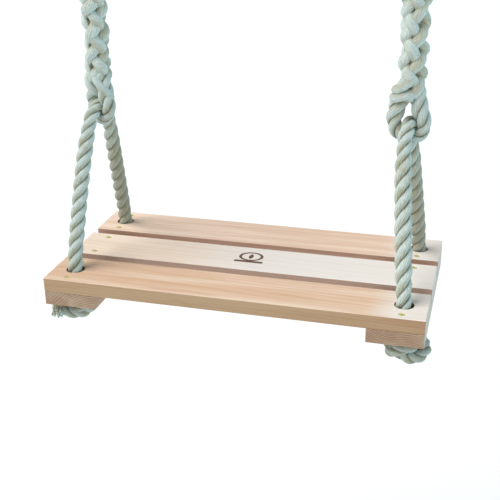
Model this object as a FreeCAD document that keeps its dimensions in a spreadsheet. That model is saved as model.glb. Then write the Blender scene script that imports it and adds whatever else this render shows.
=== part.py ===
import FreeCAD, Part
import math
import os
import re

import Sketcher
from FreeCAD import Rotation, Vector

# A porch swing for one person: a slatted seat on two bridle ropes, which hang in the spliced eyes of two
# heavier ropes, which hang on pendulum links under a beam. All lengths are in millimetres.
# Origin: on the beam's underside, midway between the two hangers. +X along the seat, +Y to its back, +Z up.

SIZES = {
    # seat
    "seat_length": 600,
    "seat_drop": 612,  # from the beam's underside to the boards' top faces
    "board_width": 88,
    "board_gap": 19,
    "board_thickness": 23,
    "cleat_width": 86,
    "cleat_thickness": 23,
    "edge_round": 1.2,
    "rope_hole_diameter": 30,
    "rope_hole_inset": 36,  # from the seat's end to the hole's axis
    # screws
    "screw_head_diameter": 10,
    "screw_shank_diameter": 5,
    "screw_length": 40,
    "screw_sunk": 0.8,
    "screw_tip_radius": 0.3,
    "recess_length": 5.5,
    "recess_width": 1.3,
    "recess_depth": 1.8,
    "screw_spacing": 60,
    "thread_clearance": 0.05,
    # ropes
    "rope_diameter": 24,
    "squeezed_diameter": 21,  # where the bridle and the lower eye bear on each other
    "splice_diameter": 40,
    "neck_drop": 326,  # where the lower eye bends under the splice
    "neck_ball_diameter": 36,
    "neck_cover": 8,  # from the neck's middle up to the splice's end
    "interlock_drop": 388,  # the lowest place of the lower eye's axis, where the bridle pitches
    "soft_clearance": 0.3,
    "knot_width": 76,
    "knot_height": 40,
    "knot_seat_diameter": 50,
    "knot_foot_diameter": 30,
    "knot_shift_out": 8,  # from the rope hole's axis to the knot's middle, away from the seat's middle
    "knot_shift_along": 5,
    # hangers
    "hanger_spacing": 492,
    "plate_length": 100,
    "plate_width": 48,
    "plate_thickness": 5,
    "beam_hole_diameter": 11,
    "beam_hole_spacing": 70,
    "ear_thickness": 5,
    "ear_width": 34,
    "pivot_drop": 32,
    "pivot_bolt_diameter": 12,
    "hexagon_circumradius": 10.4,
    "bolt_head_height": 7.5,
    "nut_height": 10,
    "bolt_past_nut": 3,
    "washer_diameter": 24,
    "washer_thickness": 2.5,
    "bolt_hole_clearance": 0.3,
    "running_clearance": 0.05,
    "side_clearance": 0.5,
    "bush_wall": 2.5,
    "bush_flange_thickness": 1.5,
    "bush_flange_diameter": 23,
    "barrel_wall": 4,
    "barrel_length": 24,
    "link_length": 30,  # from the pivot bolt's axis to the shackle pin's
    "link_neck": 15,
    # shackles and thimbles
    "shackle_pin_diameter": 12,
    "shackle_bar_diameter": 12,
    "shackle_inner_width": 32,
    "shackle_leg": 30,  # from the pin's axis to the bow's centre
    "shackle_ear_diameter": 24,
    "shackle_ear_thickness": 11,
    "pin_head_diameter": 20,
    "pin_head_thickness": 5,
    "pin_tab_diameter": 14,
    "pin_past_ear": 2,
    "thimble_wall": 2.5,
    "thimble_inner_radius": 13,
    "thimble_horn": 30,
    "groove_half_angle": 75,
    "groove_clearance": 0.2,
}

SIDES = (("left", -1), ("right", 1))
ENDS = (("front", -1), ("back", 1))
AXES = {"X": Vector(1, 0, 0), "Y": Vector(0, 1, 0), "Z": Vector(0, 0, 1)}
NO_LENGTH = 1e-6

doc = FreeCAD.newDocument("PorchSwing")
nodes = []


# ---------------------------------------------------------------- the sheet and links to it


def make_sheet():
    """The driving dimensions, one alias a row."""
    made = doc.addObject("Spreadsheet::Sheet", "Sizes")
    for row, (alias, value) in enumerate(SIZES.items(), start=1):
        made.set(f"A{row}", alias)
        made.set(f"B{row}", str(value))
        made.setAlias(f"B{row}", alias)
    doc.recompute()
    return made


sheet = make_sheet()


def size(alias):
    """One of the sheet's dimensions, as a number."""
    return float(getattr(sheet, alias))


def linked(text):
    """An expression in which each alias is read from the sheet."""

    def read(word):
        return f"Sizes.{word.group()}" if word.group() in SIZES else word.group()

    return re.sub(r"[a-z]\w*", read, text)


def bind(thing, **texts):
    for name, text in texts.items():
        thing.setExpression(name, linked(str(text)))


def place(thing, x=0, y=0, z=0, turn=None):
    """Ties the thing's place to the sheet, after turning it."""
    if turn is not None:
        thing.Placement = FreeCAD.Placement(Vector(), turn)
    for axis, text in zip("xyz", (x, y, z)):
        thing.setExpression(f"Placement.Base.{axis}", linked(str(text)))
    return thing


def along(axis):
    """The turn that lays a local Z along one of the frame's axes."""
    return Rotation(AXES["Z"], AXES[axis])


def finish(thing, node):
    """Names a finished sub-part."""
    thing.Label = node
    nodes.append(thing)
    return thing


# ---------------------------------------------------------------- Part primitives


def rod(name, diameter, length, centre, axis):
    """A cylinder whose middle is at the centre given."""
    made = doc.addObject("Part::Cylinder", name)
    bind(made, Radius=f"({diameter}) / 2", Height=length)
    x, y, z = centre
    shift = f" - ({length}) / 2"
    at = {"X": (f"{x}{shift}", y, z), "Y": (x, f"{y}{shift}", z), "Z": (x, y, f"{z}{shift}")}[axis]
    return place(made, *at, turn=along(axis))


def block(name, lengths, centre):
    """A box whose middle is at the centre given."""
    made = doc.addObject("Part::Box", name)
    bind(made, Length=lengths[0], Width=lengths[1], Height=lengths[2])
    return place(made, *(f"{c} - ({s}) / 2" for c, s in zip(centre, lengths)))


def hexagon(name, height, centre, axis):
    """A bolt head or a nut, whose middle is at the centre given."""
    made = doc.addObject("Part::Prism", name)
    made.Polygon = 6
    bind(made, Circumradius="hexagon_circumradius", Height=height)
    x, y, z = centre
    shift = f" - ({height}) / 2"
    at = {"X": (f"{x}{shift}", y, z), "Y": (x, f"{y}{shift}", z), "Z": (x, y, f"{z}{shift}")}[axis]
    return place(made, *at, turn=along(axis))


def fused(name, *things):
    made = doc.addObject("Part::MultiFuse", name)
    made.Shapes = list(things)
    return made


def cut(name, base, *tools):
    made = doc.addObject("Part::Cut", name)
    made.Base = base
    made.Tool = tools[0] if len(tools) == 1 else fused(f"{name}Tools", *tools)
    return made


def grouped(name, *things):
    """Separate solids that share a node."""
    made = doc.addObject("Part::Compound", name)
    made.Links = list(things)
    return made


# ---------------------------------------------------------------- the seat, as PartDesign bodies


def origin_plane(body, role):
    return next(feature for feature in body.Origin.OriginFeatures if feature.Role == role)


def sketch_on(body, name, plane):
    made = body.newObject("Sketcher::SketchObject", name)
    made.AttachmentSupport = [(plane, "")]
    made.MapMode = "FlatFace"
    return made


def centred_rectangle(sketch, length, width):
    """A rectangle about the sketch's origin, its two sizes tied to the sheet."""
    corners = [Vector(-20, -10, 0), Vector(20, -10, 0), Vector(20, 10, 0), Vector(-20, 10, 0)]
    for start, end in zip(corners, corners[1:] + corners[:1]):
        sketch.addGeometry(Part.LineSegment(start, end), False)
    for i in range(4):
        sketch.addConstraint(Sketcher.Constraint("Coincident", i, 2, (i + 1) % 4, 1))
    for i in (0, 2):
        sketch.addConstraint(Sketcher.Constraint("Horizontal", i))
    for i in (1, 3):
        sketch.addConstraint(Sketcher.Constraint("Vertical", i))
    sketch.addConstraint(Sketcher.Constraint("Symmetric", 0, 1, 2, 1, -1, 1))
    wide = sketch.addConstraint(Sketcher.Constraint("DistanceX", 0, 1, 0, 2, 40))
    deep = sketch.addConstraint(Sketcher.Constraint("DistanceY", 1, 1, 1, 2, 20))
    sketch.setExpression(f"Constraints[{wide}]", linked(length))
    sketch.setExpression(f"Constraints[{deep}]", linked(width))


def circle_at(sketch, diameter, x, y, start):
    """A circle tied to the sheet. Start is a place on the same side of the origin, for the solver."""
    i = sketch.addGeometry(Part.Circle(Vector(start[0], start[1], 0), Vector(0, 0, 1), 3), False)
    across = sketch.addConstraint(Sketcher.Constraint("Diameter", i, 6))
    sketch.setExpression(f"Constraints[{across}]", linked(diameter))
    for kind, text, first in (("DistanceX", x, start[0]), ("DistanceY", y, start[1])):
        if first == 0:
            axis = -2 if kind == "DistanceX" else -1
            sketch.addConstraint(Sketcher.Constraint("PointOnObject", i, 3, axis))
            continue
        at = sketch.addConstraint(Sketcher.Constraint(kind, -1, 1, i, 3, first))
        sketch.setExpression(f"Constraints[{at}]", linked(text))


def eased_plank(name, length, width, thickness):
    """A planed plank about its body's origin, its top face at z = 0 and its edges eased."""
    body = doc.addObject("PartDesign::Body", name)
    outline = sketch_on(body, f"{name}Outline", origin_plane(body, "XY_Plane"))
    centred_rectangle(outline, length, width)
    pad = body.newObject("PartDesign::Pad", f"{name}Pad")
    pad.Profile = outline
    pad.Reversed = True
    bind(pad, Length=thickness)
    doc.recompute()
    eased = body.newObject("PartDesign::Fillet", f"{name}Eased")
    eased.Base = (pad, [f"Edge{i + 1}" for i in range(len(pad.Shape.Edges))])
    bind(eased, Radius="edge_round")
    body.Tip = eased
    doc.recompute()
    return body


def through_holes(body, name, diameter, places):
    """Round holes through the whole body. Places are (x, y, a start for the solver)."""
    centres = sketch_on(body, f"{name}Centres", origin_plane(body, "XY_Plane"))
    for x, y, start in places:
        circle_at(centres, diameter, x, y, start)
    before = body.Shape.Volume
    holes = body.newObject("PartDesign::Pocket", name)
    holes.Profile = centres
    holes.Type = 1
    holes.Midplane = True
    body.Tip = holes
    doc.recompute()
    if body.Shape.Volume > before - 1:
        raise RuntimeError(f"{name} cuts nothing")


def screw_holes(body, name, places):
    """Clearance holes with a countersink for the screws."""
    centres = sketch_on(body, f"{name}Centres", origin_plane(body, "XY_Plane"))
    for x, y, start in places:
        circle_at(centres, "screw_shank_diameter", x, y, start)
    before = body.Shape.Volume
    holes = body.newObject("PartDesign::Hole", name)
    holes.Profile = centres
    doc.recompute()
    holes.DepthType = 1
    holes.Midplane = False
    holes.HoleCutType = "Countersink"
    holes.HoleCutCountersinkAngle = 90
    bind(
        holes,
        Diameter="screw_shank_diameter + 2 * thread_clearance",
        HoleCutDiameter="screw_head_diameter + 2 * screw_sunk + 2 * thread_clearance",
    )
    body.Tip = holes
    doc.recompute()
    if body.Shape.Volume > before - 1:
        raise RuntimeError(f"{name} cuts nothing")


BOARD_PITCH = "(board_width + board_gap)"
HOLE_LINE = "(seat_length / 2 - rope_hole_inset)"
BOARDS = (("front", -1), ("middle", 0), ("back", 1))


def fastening_rows():
    """The screws' places on a board, about the board's centre."""
    rows = []
    for _, end in SIDES:
        for half in (-1, 1):
            x = f"{end} * {HOLE_LINE}"
            y = f"{half} * screw_spacing / 2"
            rows.append((x, y, (end * 200, half * 25)))
    return rows


def seat_boards():
    for row, step in BOARDS:
        body = eased_plank(f"Board_{row}", "seat_length", "board_width", "board_thickness")
        if step:
            rope_places = [(f"{end} * {HOLE_LINE}", "0", (end * 200, 0)) for _, end in SIDES]
            through_holes(body, f"RopeHoles_{row}", "rope_hole_diameter", rope_places)
        screw_holes(body, f"ScrewHoles_{row}", fastening_rows())
        place(body, y=f"{step} * {BOARD_PITCH}", z="-seat_drop")
        finish(body, f"seat_board_{row}")


def seat_cleats():
    depth = "(3 * board_width + 2 * board_gap)"
    for side, sign in SIDES:
        body = eased_plank(f"Cleat_{side}", "cleat_width", depth, "cleat_thickness")
        inset = f"{sign} * (cleat_width / 2 - rope_hole_inset)"
        rope_places = [(inset, f"{end} * {BOARD_PITCH}", (sign * 8, end * 100)) for _, end in ENDS]
        through_holes(body, f"CleatRopeHoles_{side}", "rope_hole_diameter", rope_places)
        pilots = []
        for _, step in BOARDS:
            for half in (-1, 1):
                y = f"{step} * {BOARD_PITCH} + {half} * screw_spacing / 2"
                pilots.append((inset, y, (sign * 8, step * 100 + half * 25)))
        through_holes(body, f"Pilots_{side}", "screw_shank_diameter + 2 * thread_clearance", pilots)
        x = f"{sign} * (seat_length - cleat_width) / 2"
        place(body, x=x, z="-seat_drop - board_thickness")
        finish(body, f"seat_cleat_{side}")


def screw(name, x, y):
    """A countersunk wood screw with a cross recess, driven a little below the board's face."""
    top = "-seat_drop - screw_sunk"
    head_depth = "(screw_head_diameter - screw_shank_diameter) / 2"
    head = doc.addObject("Part::Cone", f"{name}Head")
    bind(head, Radius1="screw_shank_diameter / 2", Radius2="screw_head_diameter / 2", Height=head_depth)
    place(head, x, y, f"{top} - {head_depth}")
    shank_length = "(screw_length - screw_shank_diameter)"
    shank_at = (x, y, f"{top} - {shank_length} / 2")
    shank = rod(f"{name}Shank", "screw_shank_diameter", shank_length, shank_at, "Z")
    tip = doc.addObject("Part::Cone", f"{name}Tip")
    bind(tip, Radius1="screw_tip_radius", Radius2="screw_shank_diameter / 2", Height="screw_shank_diameter")
    place(tip, x, y, f"{top} - screw_length")
    body = fused(f"{name}Body", head, shank, tip)
    depth = "2 * recess_depth"
    recess = [
        block(f"{name}RecessAlong", ("recess_length", "recess_width", depth), (x, y, top)),
        block(f"{name}RecessAcross", ("recess_width", "recess_length", depth), (x, y, top)),
    ]
    return cut(name, body, *recess)


def seat_screws():
    made = []
    for row, step in BOARDS:
        for i, (x, y, _) in enumerate(fastening_rows()):
            made.append(screw(f"Screw_{row}_{i}", x, f"{step} * {BOARD_PITCH} + {y}"))
    finish(grouped("Screws", *made), "seat_screws")


# ---------------------------------------------------------------- the hangers


BUSH_OUTER = "(pivot_bolt_diameter + 2 * running_clearance + 2 * bush_wall)"
EAR_GAP = "(barrel_length + 2 * bush_flange_thickness + 2 * side_clearance)"
OVER_EARS = f"({EAR_GAP} + 2 * ear_thickness)"
OVER_WASHERS = f"({OVER_EARS} + 2 * washer_thickness)"
LOOSE_BOLT = "(pivot_bolt_diameter + 2 * bolt_hole_clearance)"
SHACKLE_SPAN = "(shackle_inner_width + shackle_bar_diameter)"
OVER_SHACKLE = "(shackle_inner_width + 2 * shackle_bar_diameter)"
OVERCUT = 2  # how much longer a cutting tool is than what it cuts


def on_pivot(sign, shift="0"):
    """A place on the pivot bolt's axis, by its distance from the hanger's middle towards +X."""
    return (f"{sign} * hanger_spacing / 2 + {shift}", "0", "-pivot_drop")


def on_pin(sign, shift="0"):
    """A place on the shackle pin's axis, by its distance from the hanger's middle towards +Y."""
    return (f"{sign} * hanger_spacing / 2", shift, "-pivot_drop - link_length")


def hanger_bracket(side, sign):
    """A plate with two rounded ears under it, the pivot's holes and the beam bolts' holes."""
    x, _, _ = on_pivot(sign)
    plate_sizes = ("plate_width", "plate_length", "plate_thickness")
    plate = block(f"Plate_{side}", plate_sizes, (x, "0", "-plate_thickness / 2"))
    ears = []
    tools = [rod(f"PivotHole_{side}", LOOSE_BOLT, f"{OVER_EARS} + {OVERCUT}", on_pivot(sign), "X")]
    for tag, half in (("inner", -sign), ("outer", sign)):
        shift = f"{half} * ({EAR_GAP} + ear_thickness) / 2"
        end = on_pivot(sign, shift)
        web_sizes = ("ear_thickness", "ear_width", "pivot_drop")
        ears.append(block(f"EarWeb_{tag}_{side}", web_sizes, (end[0], "0", "-pivot_drop / 2")))
        ears.append(rod(f"EarEnd_{tag}_{side}", "ear_width", "ear_thickness", end, "X"))
    for row, end in ENDS:
        at = (x, f"{end} * beam_hole_spacing / 2", "-plate_thickness / 2")
        length = f"plate_thickness + {OVERCUT}"
        tools.append(rod(f"BeamHole_{row}_{side}", "beam_hole_diameter", length, at, "Z"))
    body = fused(f"BracketBody_{side}", plate, *ears)
    finish(cut(f"Bracket_{side}", body, *tools), f"hanger_bracket_{side}")


def pivot_bolt(side, sign):
    """The bolt's head is on the outer side and its nut on the inner, with a little thread past the nut."""
    face = f"{OVER_WASHERS} / 2"
    head_at = on_pivot(sign, f"{sign} * ({face} + bolt_head_height / 2)")
    head = hexagon(f"BoltHead_{side}", "bolt_head_height", head_at, "X")
    past_nut = "(nut_height + bolt_past_nut)"
    shank_at = on_pivot(sign, f"{-sign} * {past_nut} / 2")
    shank_length = f"{OVER_WASHERS} + {past_nut}"
    shank = rod(f"BoltShank_{side}", "pivot_bolt_diameter", shank_length, shank_at, "X")
    finish(fused(f"PivotBolt_{side}", head, shank), f"pivot_bolt_{side}")
    nut_at = on_pivot(sign, f"{-sign} * ({face} + nut_height / 2)")
    blank = hexagon(f"NutBlank_{side}", "nut_height", nut_at, "X")
    bore = "pivot_bolt_diameter + 2 * thread_clearance"
    thread = rod(f"NutThread_{side}", bore, f"nut_height + {OVERCUT}", nut_at, "X")
    finish(cut(f"PivotNut_{side}", blank, thread), f"pivot_nut_{side}")


def pivot_washers():
    made = []
    for side, sign in SIDES:
        for tag, half in (("inner", -sign), ("outer", sign)):
            name = f"{tag}_{side}"
            at = on_pivot(sign, f"{half} * ({OVER_EARS} + washer_thickness) / 2")
            disc = rod(f"WasherDisc_{name}", "washer_diameter", "washer_thickness", at, "X")
            hole = rod(f"WasherHole_{name}", LOOSE_BOLT, f"washer_thickness + {OVERCUT}", at, "X")
            made.append(cut(f"Washer_{name}", disc, hole))
    finish(grouped("Washers", *made), "pivot_washers")


def pivot_bushes(side, sign):
    """Two flanged bushes, one in each end of the link's upper barrel."""
    made = []
    for tag, half in (("inner", -sign), ("outer", sign)):
        name = f"{tag}_{side}"
        sleeve_length = "(barrel_length / 2 - side_clearance)"
        sleeve_at = on_pivot(sign, f"{half} * (barrel_length - {sleeve_length}) / 2")
        sleeve = rod(f"Sleeve_{name}", BUSH_OUTER, sleeve_length, sleeve_at, "X")
        flange_at = on_pivot(sign, f"{half} * (barrel_length + bush_flange_thickness) / 2")
        flange = rod(f"Flange_{name}", "bush_flange_diameter", "bush_flange_thickness", flange_at, "X")
        bore = "pivot_bolt_diameter + 2 * running_clearance"
        hole = rod(f"BushBore_{name}", bore, "2 * barrel_length", sleeve_at, "X")
        made.append(cut(f"Bush_{name}", fused(f"BushBody_{name}", sleeve, flange), hole))
    finish(grouped(f"Bushes_{side}", *made), f"pivot_bushes_{side}")


def pendulum_link(side, sign):
    """Two crossed barrels with a short neck, the upper for the pivot bolt and the lower for the shackle pin."""
    upper_outer = f"({BUSH_OUTER} + 2 * barrel_wall)"
    lower_bore = "(shackle_pin_diameter + 2 * running_clearance)"
    lower_outer = f"({lower_bore} + 2 * barrel_wall)"
    lower_length = "shackle_inner_width - 2 * side_clearance"
    x, _, _ = on_pivot(sign)
    neck_sizes = ("link_neck", "link_neck", "link_length")
    body = fused(
        f"LinkBody_{side}",
        rod(f"UpperBarrel_{side}", upper_outer, "barrel_length", on_pivot(sign), "X"),
        rod(f"LowerBarrel_{side}", lower_outer, lower_length, on_pin(sign), "Y"),
        block(f"Neck_{side}", neck_sizes, (x, "0", "-pivot_drop - link_length / 2")),
    )
    upper_bore = f"{BUSH_OUTER} + 2 * running_clearance"
    bores = [
        rod(f"UpperBore_{side}", upper_bore, f"barrel_length + {OVERCUT}", on_pivot(sign), "X"),
        rod(f"LowerBore_{side}", lower_bore, f"shackle_inner_width + {OVERCUT}", on_pin(sign), "Y"),
    ]
    finish(cut(f"Link_{side}", body, *bores), f"pendulum_link_{side}")


def shackle(side, sign):
    """A round-bar shackle whose bow hangs down in the YZ plane, with bored ears at the pin's height."""
    half_span = (size("shackle_inner_width") + size("shackle_bar_diameter")) / 2
    pin = -size("pivot_drop") - size("link_length")
    bottom = pin - size("shackle_leg") - half_span
    corners = [
        Vector(0, -half_span, pin),
        Vector(0, -half_span, bottom),
        Vector(0, half_span, bottom),
        Vector(0, half_span, pin),
    ]
    path = bent_path(corners, [half_span, half_span])
    bar = doc.addObject("Part::Feature", f"ShackleBar_{side}")
    bar.Shape = tube(path, size("shackle_bar_diameter"), f"shackle_{side}")
    bar.Placement = at_hanger(sign)
    ears, bores = [], []
    for row, end in ENDS:
        at = on_pin(sign, f"{end} * {SHACKLE_SPAN} / 2")
        ears.append(rod(f"ShackleEar_{row}_{side}", "shackle_ear_diameter", "shackle_ear_thickness", at, "Y"))
        bore = "shackle_pin_diameter + 2 * running_clearance"
        bores.append(rod(f"EarBore_{row}_{side}", bore, f"shackle_bar_diameter + {OVERCUT}", at, "Y"))
    finish(cut(f"Shackle_{side}", fused(f"ShackleBody_{side}", bar, *ears), *bores), f"shackle_{side}")


def shackle_pin(side, sign):
    """A pin with a collar and a flat tab with a wire hole at its back end, and its tip past the front ear."""
    shank_at = on_pin(sign, "-pin_past_ear / 2")
    shank = rod(f"PinShank_{side}", "shackle_pin_diameter", f"{OVER_SHACKLE} + pin_past_ear", shank_at, "Y")
    collar_at = on_pin(sign, f"({OVER_SHACKLE} + pin_head_thickness) / 2")
    collar = rod(f"PinCollar_{side}", "pin_head_diameter", "pin_head_thickness", collar_at, "Y")
    tab_at = on_pin(sign, f"{OVER_SHACKLE} / 2 + pin_head_thickness + pin_tab_diameter / 3")
    tab = rod(f"PinTab_{side}", "pin_tab_diameter", "pin_head_thickness", tab_at, "X")
    eye_at = on_pin(sign, f"{OVER_SHACKLE} / 2 + pin_head_thickness + pin_tab_diameter * 0.4")
    eye = rod(f"PinEye_{side}", "pin_tab_diameter / 3", f"pin_head_thickness + {OVERCUT}", eye_at, "X")
    finish(cut(f"Pin_{side}", fused(f"PinBody_{side}", shank, collar, tab), eye), f"shackle_pin_{side}")


# ---------------------------------------------------------------- ropes, along runs joined by arcs

# Each route is half of one: its other half is the mirror image. A free corner's arc reaches over 0.45 of its
# shorter run, and a corner that bears on something over half of it, so that bearing arcs join each other.
FREE, BEARING = 0.45, 0.4999

# The upper eye's axis, about the top of its round end: out from its middle, up.
UPPER_EYE_HALF = ((12.0, -86.0), (30.4, -22.1), (13.8, 0.0))
UPPER_EYE_SHARES = (BEARING, BEARING)

# The lower eye's axis, about its lowest place.
LOWER_EYE_HALF = ((12.0, 62.0), (23.3, 16.4), (10.4, 0.0))
LOWER_EYE_SHARES = (BEARING, BEARING)

# A bridle's axis from a knot's seat up to its top, about the place where the bridle pitches: away from the
# swing's middle, away from its other leg, up.
BRIDLE_HALF = (
    (18.0, 107.0, -270.0),
    (18.0, 107.0, -217.0),
    (0.0, 22.3, 1.6),
    (0.0, 17.5, 13.9),
    (0.0, 6.6, 21.4),
)
BRIDLE_TOP_SHARES = (FREE, BEARING, BEARING)


def at_hanger(sign):
    """The place of a piece that is drawn about the line under a hanger."""
    return FreeCAD.Placement(Vector(sign * size("hanger_spacing") / 2, 0, 0), Rotation())


def corner_turn(before, corner, after):
    return math.pi - (before - corner).getAngle(after - corner)


def corner_radius(before, corner, after, share):
    """The radius of the arc that reaches over this share of a corner's shorter run."""
    shorter = min((before - corner).Length, (after - corner).Length)
    return share * shorter / math.tan(corner_turn(before, corner, after) / 2)


def bent_path(points, radii):
    """Straight runs through the points, with each corner rounded by an arc of its radius."""
    edges, at = [], points[0]
    for before, corner, after, radius in zip(points, points[1:], points[2:], radii):
        inward = (before - corner).normalize()
        outward = (after - corner).normalize()
        half_turn = corner_turn(before, corner, after) / 2
        start = corner + inward * radius * math.tan(half_turn)
        end = corner + outward * radius * math.tan(half_turn)
        middle = corner + (inward + outward).normalize() * (radius / math.cos(half_turn) - radius)
        if (start - at).Length > NO_LENGTH:
            edges.append(Part.LineSegment(at, start).toShape())
        edges.append(Part.Arc(start, middle, end).toShape())
        at = end
    edges.append(Part.LineSegment(at, points[-1]).toShape())
    return Part.Wire(edges)


def rope_path(points, shares, name):
    """A rope's path, with its arcs' radii printed."""
    corners = list(zip(points, points[1:], points[2:], shares))
    radii = [corner_radius(*corner) for corner in corners]
    for radius in radii:
        print(f"{name}: an arc of {radius:.1f} mm, {radius / size('rope_diameter'):.2f} rope diameters")
    return bent_path(points, radii)


def tube(path, diameter, name):
    """A round solid along the path, its volume compared with its section times its length."""
    first = path.Edges[0]
    start, heading = first.valueAt(first.FirstParameter), first.tangentAt(first.FirstParameter)
    section = Part.Wire(Part.makeCircle(diameter / 2, start, heading))
    made = path.makePipeShell([section], True, False)
    expected = math.pi * diameter**2 / 4 * path.Length
    print(f"{name}: {path.Length:.1f} mm long, volume {made.Volume / expected:.4f} of section times length")
    return made


def straight_tube(start, end, diameter):
    return Part.makeCylinder(diameter / 2, (end - start).Length, start, end - start)


def taper(start, start_diameter, end, end_diameter):
    """A cone between two places on a straight run."""
    return Part.makeCone(start_diameter / 2, end_diameter / 2, (end - start).Length, start, end - start)


def joined(*shapes):
    """One solid out of solids that meet."""
    made = shapes[0].multiFuse(list(shapes[1:])).removeSplitter()
    if len(made.Solids) != 1:
        raise RuntimeError(f"{len(made.Solids)} solids where one was meant")
    return made.Solids[0]


def soft_node(shape, node, sign):
    made = doc.addObject("Part::Feature", f"Soft_{node}")
    made.Shape = shape
    made.Placement = at_hanger(sign)
    finish(made, node)


def groove_radius():
    """The thimble's groove, which the rope lies in."""
    return size("rope_diameter") / 2 + size("groove_clearance")


def crown_height():
    """The height of the upper eye's axis at its top, where the thimble rests in the shackle's bow."""
    bow_centre = -size("pivot_drop") - size("link_length") - size("shackle_leg")
    bow_inside = bow_centre - size("shackle_inner_width") / 2
    return bow_inside + size("soft_clearance") + size("thimble_wall") + groove_radius()


def eye_route(half, top):
    """An eye's whole route in the XZ plane, from its left leg round to its right."""
    right = [Vector(x, 0, top + z) for x, z in half]
    left = [Vector(-p.x, 0, p.z) for p in right]
    return left + right[::-1]


def mirrored(shares):
    return [*shares, *reversed(shares)]


def hanging_rope(side, sign):
    """The upper eye round the thimble and the splice under it, with a hollow for the lower eye's neck."""
    route = eye_route(UPPER_EYE_HALF, crown_height())
    name = f"upper eye {side}"
    eye = tube(rope_path(route, mirrored(UPPER_EYE_SHARES), name), size("rope_diameter"), name)
    splice_radius, ball_radius = size("splice_diameter") / 2, size("neck_ball_diameter") / 2
    neck = Vector(0, 0, -size("neck_drop"))
    splice_end = neck + Vector(0, 0, size("neck_cover"))
    shoulder = Vector(0, 0, route[0].z)
    splice = straight_tube(splice_end, shoulder, 2 * splice_radius)
    whole = joined(eye, splice, Part.makeSphere(splice_radius, shoulder))
    hollow = Part.makeSphere(ball_radius + size("soft_clearance"), neck)
    soft_node(whole.cut(hollow).Solids[0], f"hanging_rope_{side}", sign)


def thimble(side, sign):
    """A grooved steel eye inside the upper eye: a round crown and two straight horns."""
    route = eye_route(UPPER_EYE_HALF, crown_height())
    inner, outer = groove_radius(), groove_radius() + size("thimble_wall")
    axis_radius = size("thimble_inner_radius") + outer
    centre = Vector(0, 0, crown_height() - axis_radius)
    leg = (route[1] - route[0]).normalize()
    lean = leg.getAngle(Vector(0, 0, 1))
    reach = [math.radians(angle * size("groove_half_angle")) for angle in (-1, 0, 1)]

    def lip(radius, angle):
        """A place on the groove's section where the round ends, at its right-hand side."""
        return centre + Vector(axis_radius - radius * math.cos(angle), radius * math.sin(angle), 0)

    outline = [
        Part.Arc(*(lip(inner, angle) for angle in reach)).toShape(),
        Part.LineSegment(lip(inner, reach[2]), lip(outer, reach[2])).toShape(),
        Part.Arc(*(lip(outer, angle) for angle in reversed(reach))).toShape(),
        Part.LineSegment(lip(outer, reach[0]), lip(inner, reach[0])).toShape(),
    ]
    right = Part.Face(Part.Wire(outline))
    right.rotate(centre, AXES["Y"], math.degrees(lean))
    left = right.mirror(centre, AXES["X"])
    crown = right.revolve(centre, -AXES["Y"], 180 + 2 * math.degrees(lean))
    right_horn = right.extrude(Vector(leg.x, 0, -leg.z) * size("thimble_horn"))
    left_horn = right_horn.mirror(centre, AXES["X"])
    soft_node(joined(crown, right_horn, left_horn), f"thimble_{side}", sign)


def lower_eye(side, sign):
    """The spliced eye that the bridle passes through, squeezed at its round end, with a ball for its neck."""
    rope, squeezed = size("rope_diameter"), size("squeezed_diameter")
    route = eye_route(LOWER_EYE_HALF, -size("interlock_drop"))
    squeezed_to, full_from, full_to = 0.4, 0.65, 0.9  # along each leg, from its corner to the crotch
    pieces, ends = [], []
    for corner, crotch in ((route[1], route[0]), (route[4], route[5])):
        run = crotch - corner
        thin_end = corner + run * squeezed_to
        full_end = corner + run * full_from
        ends.append(thin_end)
        pieces.append(taper(thin_end, squeezed, full_end, rope))
        pieces.append(straight_tube(full_end, corner + run * full_to, rope))
    round_end = [ends[0], *route[1:5], ends[1]]
    path = rope_path(round_end, mirrored(LOWER_EYE_SHARES), f"lower eye {side}")
    pieces.append(tube(path, squeezed, f"lower eye {side}"))
    pieces.append(Part.makeSphere(size("neck_ball_diameter") / 2, Vector(0, 0, -size("neck_drop"))))
    soft_node(joined(*pieces), f"lower_eye_{side}", sign)


def bridle_rope(side, sign):
    """From the front knot up through the seat, over the lower eye's round end and down to the back knot."""
    rope, squeezed = size("rope_diameter"), size("squeezed_diameter")
    pitch = Vector(0, 0, -size("interlock_drop"))
    back = [pitch + Vector(sign * x, y, z) for x, y, z in BRIDLE_HALF]
    front = [Vector(p.x, -p.y, p.z) for p in back]
    squeezed_run, taper_run = 10.0, 20.0  # down each leg from the bend under the bearing
    pieces, ends = [], []
    for row, half in (("front", front), ("back", back)):
        down = (half[1] - half[2]).normalize()
        thin_end = half[2] + down * squeezed_run
        full_end = thin_end + down * taper_run
        ends.append(thin_end)
        pieces.append(taper(thin_end, squeezed, full_end, rope))
        name = f"bridle's {row} leg {side}"
        pieces.append(tube(rope_path([half[0], half[1], full_end], [FREE], name), rope, name))
    top = [ends[0], *front[2:], *reversed(back[2:]), ends[1]]
    name = f"bridle's top {side}"
    pieces.append(tube(rope_path(top, mirrored(BRIDLE_TOP_SHARES), name), squeezed, name))
    soft_node(joined(*pieces), f"bridle_rope_{side}", sign)


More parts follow.
